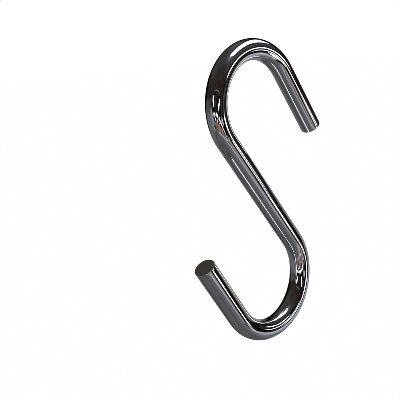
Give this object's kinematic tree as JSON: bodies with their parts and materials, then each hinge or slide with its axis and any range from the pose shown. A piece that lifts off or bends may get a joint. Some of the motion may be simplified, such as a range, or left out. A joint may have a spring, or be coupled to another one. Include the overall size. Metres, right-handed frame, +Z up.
{
  "type": "s hook",
  "caption": "Open S hook bent from round wire, with two like loops facing opposite ways, for hanging a ringed load from a rail or bar.",
  "frame": {"origin": "the upper seat: the lowest point of the rail side of the upper loop, where the wire bears on the rail", "axes": "+Z up as the hook hangs under load, with the lower loop's centre straight below the upper one's; the wire's middle line lies in the XZ plane; +X towards the upper loop's free leg; +Y completes the frame, square to the wire's plane"},
  "size_m": [0.044, 0.005, 0.0719],
  "materials": {
    "chrome_wire": "polished chrome plate on drawn steel wire, with darker cut ends"
  },
  "bodies": {
    "root": {"s_hook": "chrome_wire"}
  },
  "joints": []
}
